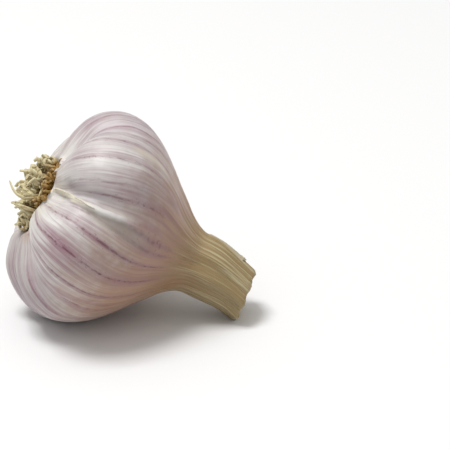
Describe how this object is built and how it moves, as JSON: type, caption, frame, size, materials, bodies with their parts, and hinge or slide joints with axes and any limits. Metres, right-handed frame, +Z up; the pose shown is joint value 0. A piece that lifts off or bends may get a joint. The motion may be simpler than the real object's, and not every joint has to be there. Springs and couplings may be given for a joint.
{
  "type": "garlic bulb",
  "caption": "Whole dried garlic bulb lying on its side: lobed, purple-striped papery body, tuft of dried roots at one end and a trimmed drooping neck at the other.",
  "frame": {"origin": "on the ground under the middle of the bounding box", "axes": "+X from the root tuft towards the neck, +Z up, +Y away from the side that the picture shows"},
  "size_m": [0.0672, 0.0592, 0.055],
  "materials": {
    "skin": "satin papery skin, off-white with mauve stripes",
    "roots": "matt dry root fibre, straw to brown",
    "wrapper": "thin dry leaf, satin"
  },
  "bodies": {
    "root": {"bulb": "skin", "root_tuft": "roots", "wrapper_front": "wrapper", "wrapper_neck": "wrapper"}
  },
  "joints": []
}
